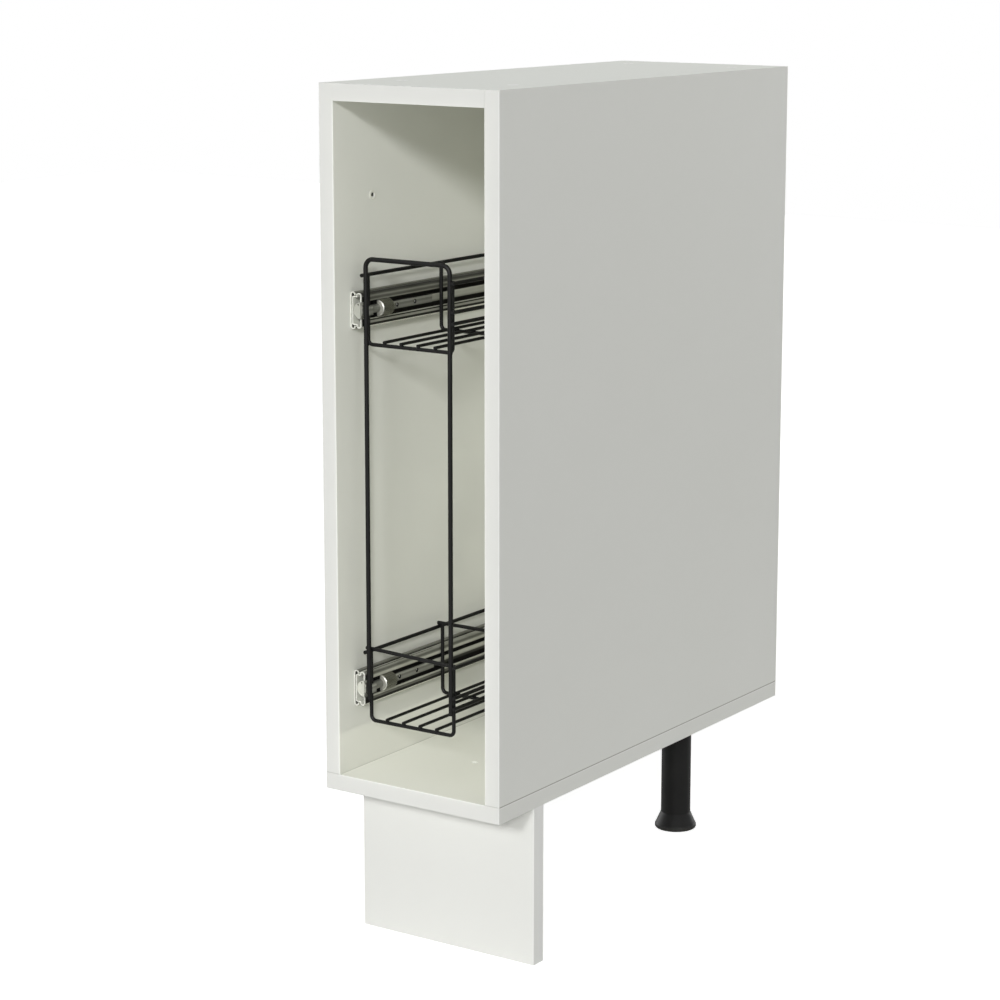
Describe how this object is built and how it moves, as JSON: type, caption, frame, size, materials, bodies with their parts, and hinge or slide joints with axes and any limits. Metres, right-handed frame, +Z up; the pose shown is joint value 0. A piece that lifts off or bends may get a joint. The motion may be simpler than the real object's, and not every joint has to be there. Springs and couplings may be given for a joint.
{
  "type": "narrow kitchen base cabinet with wire pull-out",
  "caption": "Narrow white kitchen base cabinet on legs with a plinth board and a black two-tier wire pull-out on telescopic ball-bearing slides.",
  "frame": {"origin": "on the floor under the centre of the carcass's footprint", "axes": "+X to the right seen from the front, +Y to the back, +Z up; the pull-out slides out along -Y"},
  "size_m": [0.2, 0.525, 0.825],
  "materials": {
    "white_board": "particle board with a matt white melamine coating",
    "white_edge": "satin white edge band",
    "white_plinth": "particle board with a satin white foil",
    "back_board": "thin fibreboard, white on the inside",
    "dowel_wood": "ribbed beech dowel",
    "eyelet_plastic": "white plastic",
    "black_plastic": "black moulded plastic, fine grain",
    "foot_plastic": "black moulded plastic, slight gloss",
    "bumper_plastic": "black soft plastic",
    "slide_steel": "zinc-plated rolled steel",
    "cage_steel": "thin steel strip with a film of grease",
    "ball_steel": "polished bearing steel",
    "hanger_steel": "zinc-plated steel",
    "nut_metal": "zinc-plated, knurled",
    "screw_zinc": "zinc-plated screw",
    "black_wire": "black powder coat"
  },
  "bodies": {
    "cabinet": {"left_side": "white_board", "right_side": "white_board", "top_panel": "white_board", "bottom_panel": "white_board", "back_panel": "back_board", "front_edge_bands": "white_edge", "dowels": "dowel_wood", "eyelet": "eyelet_plastic", "plinth_board": "white_plinth", "plinth_clip": "black_plastic", "plinth_clip_screws": "screw_zinc", "front_leg_socket": "black_plastic", "rear_leg_socket": "black_plastic", "leg_screws": "screw_zinc", "front_leg_tube": "black_plastic", "rear_leg_tube": "black_plastic", "upper_cabinet_member": "slide_steel", "upper_slide_screws": "screw_zinc", "upper_rear_bumper": "bumper_plastic", "lower_cabinet_member": "slide_steel", "lower_slide_screws": "screw_zinc", "lower_rear_bumper": "bumper_plastic"},
    "front_foot": {"front_foot": "foot_plastic"},
    "rear_foot": {"rear_foot": "foot_plastic"},
    "pullout": {"upper_drawer_member": "slide_steel", "upper_hanger": "hanger_steel", "upper_rear_clip": "hanger_steel", "upper_clip_screws": "screw_zinc", "lower_drawer_member": "slide_steel", "lower_hanger": "hanger_steel", "lower_rear_clip": "hanger_steel", "lower_clip_screws": "screw_zinc", "portal_frame": "black_wire", "upper_hoops": "black_wire", "upper_rails": "black_wire", "upper_floor_wires": "black_wire", "upper_rear_wires": "black_wire", "lower_hoops": "black_wire", "lower_rails": "black_wire", "lower_floor_wires": "black_wire", "lower_cross_wires": "black_wire"},
    "upper_outer_cage": {"upper_outer_cage": "cage_steel", "upper_outer_balls": "ball_steel"},
    "upper_middle_member": {"upper_middle_member": "slide_steel"},
    "upper_inner_cage": {"upper_inner_cage": "cage_steel", "upper_inner_balls": "ball_steel"},
    "upper_knurled_nut": {"upper_knurled_nut": "nut_metal"},
    "lower_outer_cage": {"lower_outer_cage": "cage_steel", "lower_outer_balls": "ball_steel"},
    "lower_middle_member": {"lower_middle_member": "slide_steel"},
    "lower_inner_cage": {"lower_inner_cage": "cage_steel", "lower_inner_balls": "ball_steel"},
    "lower_knurled_nut": {"lower_knurled_nut": "nut_metal"}
  },
  "joints": [
    {"name": "pullout_slide", "type": "slide", "parent": "cabinet", "child": "pullout", "axis": [0, -1, 0], "range_m": [0, 0.45]},
    {"name": "upper_outer_cage_slide", "type": "slide", "parent": "cabinet", "child": "upper_outer_cage", "axis": [0, -1, 0], "range_m": [0, 0.1125]},
    {"name": "upper_middle_member_slide", "type": "slide", "parent": "cabinet", "child": "upper_middle_member", "axis": [0, -1, 0], "range_m": [0, 0.225]},
    {"name": "upper_inner_cage_slide", "type": "slide", "parent": "cabinet", "child": "upper_inner_cage", "axis": [0, -1, 0], "range_m": [0, 0.3375]},
    {"name": "upper_nut_turn", "type": "hinge", "parent": "pullout", "child": "upper_knurled_nut", "pos_m": [-0.0727, -0.2035, 0.6145], "axis": [0, -1, 0], "continuous": true},
    {"name": "lower_outer_cage_slide", "type": "slide", "parent": "cabinet", "child": "lower_outer_cage", "axis": [0, -1, 0], "range_m": [0, 0.1125]},
    {"name": "lower_middle_member_slide", "type": "slide", "parent": "cabinet", "child": "lower_middle_member", "axis": [0, -1, 0], "range_m": [0, 0.225]},
    {"name": "lower_inner_cage_slide", "type": "slide", "parent": "cabinet", "child": "lower_inner_cage", "axis": [0, -1, 0], "range_m": [0, 0.3375]},
    {"name": "lower_nut_turn", "type": "hinge", "parent": "pullout", "child": "lower_knurled_nut", "pos_m": [-0.0727, -0.2035, 0.2515], "axis": [0, -1, 0], "continuous": true},
    {"name": "front_foot_height", "type": "slide", "parent": "cabinet", "child": "front_foot", "axis": [0, 0, -1], "range_m": [0, 0.025]},
    {"name": "rear_foot_height", "type": "slide", "parent": "cabinet", "child": "rear_foot", "axis": [0, 0, -1], "range_m": [0, 0.025]}
  ],
  "couplings": [
    {"joint": "upper_outer_cage_slide", "follows": "pullout_slide", "ratio": 0.25},
    {"joint": "upper_middle_member_slide", "follows": "pullout_slide", "ratio": 0.5},
    {"joint": "upper_inner_cage_slide", "follows": "pullout_slide", "ratio": 0.75},
    {"joint": "lower_outer_cage_slide", "follows": "pullout_slide", "ratio": 0.25},
    {"joint": "lower_middle_member_slide", "follows": "pullout_slide", "ratio": 0.5},
    {"joint": "lower_inner_cage_slide", "follows": "pullout_slide", "ratio": 0.75}
  ]
}
